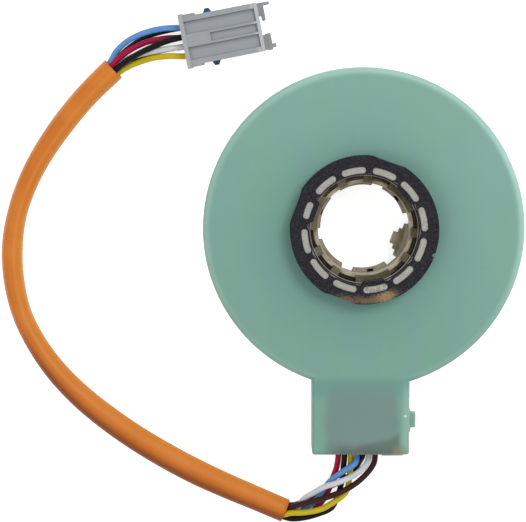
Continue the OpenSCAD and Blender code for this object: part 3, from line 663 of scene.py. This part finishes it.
def plug_material():
    """Grey plug with a paler flange and rim, hooks painted darker as shade, and channel floors that are bluer
    and painted darker as shade, with a painted shadow along the upper side of each channel.
    """
    flange_end = (0.0015, 0.0008)
    channel_start = (0.0010, 0.0013)
    channel_end = (0.0196, 0.0190)
    channel_top = (0.0091, 0.0088)
    channel_bottom = (0.0080, 0.0083)
    rim_start = (0.0174, 0.0188)
    rim_bottom = (0.0088, 0.0092)
    hooks_start = (0.0200, 0.0206)
    look = Look("plug_plastic")
    turn = math.radians(PLUG_TURN)
    dx = look.minus(look.x, PLUG_AT[0] * MM)
    dy = look.minus(look.y, PLUG_AT[1] * MM)
    x = look.add(look.times(dx, math.cos(turn)), look.times(dy, math.sin(turn)))
    y = look.minus(look.times(dy, math.cos(turn)), look.times(dx, math.sin(turn)))
    cloud = look.noise(260, 4, 0.6)
    grain = look.noise(2400, 2, 0.6)
    base = look.tint(rgb(151, 154, 157), look.ease(cloud, 0.35, 0.68), 0.5, rgb(140, 143, 147))
    base = look.tint(base, look.ease(x, *flange_end), 0.7, rgb(166, 166, 164))
    # Painted shadow along the upper side of each channel, on channel floors painted darker as shade
    channel = look.both(look.ease(look.z, *channel_top), look.ease(look.z, *channel_bottom),
                        look.ease(x, *channel_start), look.ease(x, *channel_end))
    channel_shadow = look.ease(y, 0.0034, 0.0047)
    channel_shadow = look.either(channel_shadow, look.both(look.ease(y, 0.0000, 0.0010), look.ease(y, 0.0014, 0.0012)))
    channel_shadow = look.either(channel_shadow, look.both(look.ease(y, -0.0030, -0.0017), look.ease(y, -0.0012, -0.0014)))
    shaded_channel_floor = look.tint(rgb(144, 149, 154), channel_shadow, 0.8, rgb(112, 115, 120))
    base = look.tint(base, channel, 0.8, shaded_channel_floor)
    rim = look.both(look.ease(x, *rim_start), look.ease(look.z, *rim_bottom))
    base = look.mix(rim, base, rgb(176, 179, 180))
    # Painted shade: the hooks are darker
    base = look.tint(base, look.ease(x, *hooks_start), 0.5, rgb(140, 142, 142))
    look.grainy(grain, 0.5, cloud, 0.3, 0.0002)
    return look.finish(base, look.add(0.45, look.times(grain, 0.14)), Specular_IOR_Level=0.4)


def potting_material():
    look = Look("resin")
    cloud = look.noise(500, 4, 0.65)
    base = look.mix(look.ease(cloud, 0.35, 0.62), rgb(112, 118, 96), rgb(140, 132, 92))
    look.bump(cloud, 0.5, 0.0003)
    return look.finish(base, 0.3, Specular_IOR_Level=0.5)


assign(housing_material(), "front_housing", "rear_cover")
assign(ring_material(), "front_drive_ring")
assign(plain_material("board_mask", rgb(40, 92, 52), rgb(30, 74, 42), 300, rough=0.4), "track_board")
assign(plain_material("carbon_ink", rgb(28, 28, 30), rgb(40, 40, 42), 900, rough=0.6),
       "position_tracks", "torque_tracks")
assign(plain_material("pin_metal", rgb(222, 196, 130), rgb(196, 168, 100), 700, rough=0.25, metallic=1.0),
       "board_pins", "position_wipers", "torque_wipers")
assign(plain_material("washer_plastic", rgb(214, 212, 202), rgb(196, 194, 184), 300), "thrust_washer")
assign(post_material(), "front_rotor_hub")
assign(cage_material(), "hub_cage")
assign(rear_material(), "rear_rotor")
assign(plain_material("spring_steel", rgb(196, 186, 164), rgb(150, 138, 112), 500, share=0.8, rough=0.45,
                      metallic=0.15, stretch=(1, 1, 4)), "grip_ring")
assign(plain_material("clamp_plastic", rgb(120, 148, 136), rgb(104, 130, 118), 300, rough=0.4), "wire_clamp")
assign(potting_material(), "potting")
assign(plug_material(), "connector_housing")
assign(plain_material("lock_plastic", rgb(18, 76, 118), rgb(12, 54, 90), 500, rough=0.35), "contact_lock")
assign(plain_material("contact_metal", rgb(206, 206, 200), rgb(176, 176, 170), 700, rough=0.3, metallic=1.0),
       "connector_contacts")
assign(sleeve_material(), "sleeve_skin")
WIRE_COLOURS = {
    "red": ((160, 4, 56), (120, 4, 42)),
    "black": ((11, 9, 12), (6, 5, 7)),
    "yellow": ((198, 174, 20), (160, 138, 14)),
    "light_blue": ((94, 144, 202), (74, 122, 182)),
    "dark_blue": ((13, 16, 36), (9, 11, 26)),
    "white": ((202, 204, 206), (176, 178, 182)),
    "brown": ((54, 22, 22), (38, 15, 15))}
for colour_name, (colour, dark) in WIRE_COLOURS.items():
    insulation = "insulation_" + colour_name
    assign(wire_material(insulation, rgb(*colour), rgb(*dark)), insulation)

# Floor, lamps and world
FLOOR_HALF = 3
FLOOR_DROP = 0.00005
FLOOR_GLOW = 0.7
SKY_LIGHT = 0.62
AIM = (-0.02, 0, 0)


def floor_material():
    """White table: it shows white to the camera, and the object's shadow stays on it."""
    look = Look("floor")
    tree = look.tree
    look.finish(rgb(236, 236, 236), 0.9, Specular_IOR_Level=0.0)
    rays = tree.nodes.new("ShaderNodeLightPath").outputs
    seen = look.add(look.add(rays["Is Camera Ray"], rays["Is Glossy Ray"]), rays["Is Transmission Ray"])
    seen = look.calc("MINIMUM", seen, 1.0)
    glow = tree.nodes.new("ShaderNodeEmission")
    glow.inputs["Color"].default_value = WHITE
    tree.links.new(look.times(seen, FLOOR_GLOW), glow.inputs["Strength"])
    total = tree.nodes.new("ShaderNodeAddShader")
    tree.links.new(look.shader.outputs[0], total.inputs[0])
    tree.links.new(glow.outputs[0], total.inputs[1])
    tree.links.new(total.outputs[0], tree.nodes["Material Output"].inputs["Surface"])
    return look.material


def lamp(name, place, size, power):
    """A square lamp that is aimed at the object."""
    data = bpy.data.lights.new(name, "AREA")
    data.shape = "SQUARE"
    data.size = size
    data.energy = power
    obj = link(bpy.data.objects.new(name, data))
    obj.location = place
    obj.rotation_euler = (Vector(AIM) - Vector(place)).to_track_quat("-Z", "Y").to_euler()


floor_corners = [(-FLOOR_HALF, -FLOOR_HALF, 0), (FLOOR_HALF, -FLOOR_HALF, 0),
                 (FLOOR_HALF, FLOOR_HALF, 0), (-FLOOR_HALF, FLOOR_HALF, 0)]
floor = make_mesh("floor", floor_corners, [(0, 1, 2, 3)], smooth=False)
floor.location.z = -FLOOR_DROP
floor.data.materials.append(floor_material())

world = bpy.data.worlds.new("studio")
scene.world = world
world.use_nodes = True
background = world.node_tree.nodes["Background"]
background.inputs["Color"].default_value = WHITE
background.inputs["Strength"].default_value = SKY_LIGHT

lamp("key", place=(0.45, 0.5, 0.9), size=0.5, power=5.5)
lamp("fill", place=(-0.6, -0.3, 0.8), size=0.6, power=2.0)
